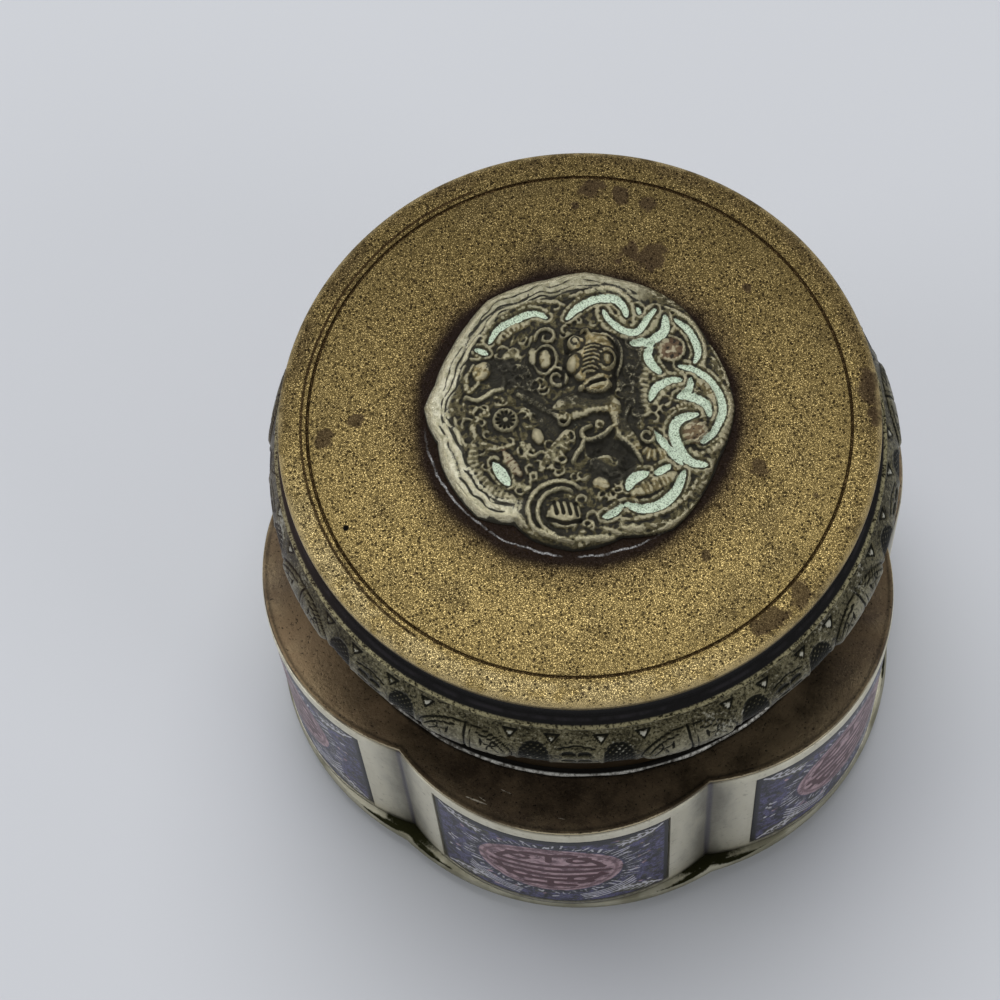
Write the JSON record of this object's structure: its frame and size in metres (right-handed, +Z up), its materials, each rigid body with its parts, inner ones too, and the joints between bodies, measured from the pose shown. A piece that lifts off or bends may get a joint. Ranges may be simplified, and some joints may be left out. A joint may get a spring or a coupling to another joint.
{
  "type": "tea caddy",
  "caption": "lobed brass tea caddy with enamel wall panels, a round neck and a lift-off cap with a bulging carved band and a cast scrollwork medallion",
  "frame": {"origin": "middle of the underside, on the surface the caddy stands on", "axes": "+Z up through the middle of the lid, -Y out of the middle of the front wall panel, +X to the right of someone facing that panel"},
  "size_m": [0.0922, 0.095, 0.0807],
  "materials": {
    "foot_brass": "dull, dirty in the corners",
    "wall_metal": "pale satin with grey tarnish",
    "enamel": "glossy fused enamel, violet blue with pink roundels",
    "dark_brass": "dark brown tarnish, satin",
    "band_metal": "grey worn metal, dark in the recesses",
    "lid_brass": "fine stippled antique brass with brown stains",
    "cast_metal": "silvery grey cast relief with mint enamel and dark recesses"
  },
  "bodies": {
    "root": {"foot": "foot_brass", "body_wall": "wall_metal", "enamel_panel_1": "enamel", "enamel_panel_2": "enamel", "enamel_panel_3": "enamel", "enamel_panel_4": "enamel", "enamel_panel_5": "enamel", "enamel_panel_6": "enamel", "shoulder_plate": "dark_brass", "neck": "dark_brass", "lid_shell": "band_metal", "lid_top": "lid_brass", "medallion": "cast_metal"}
  },
  "joints": []
}
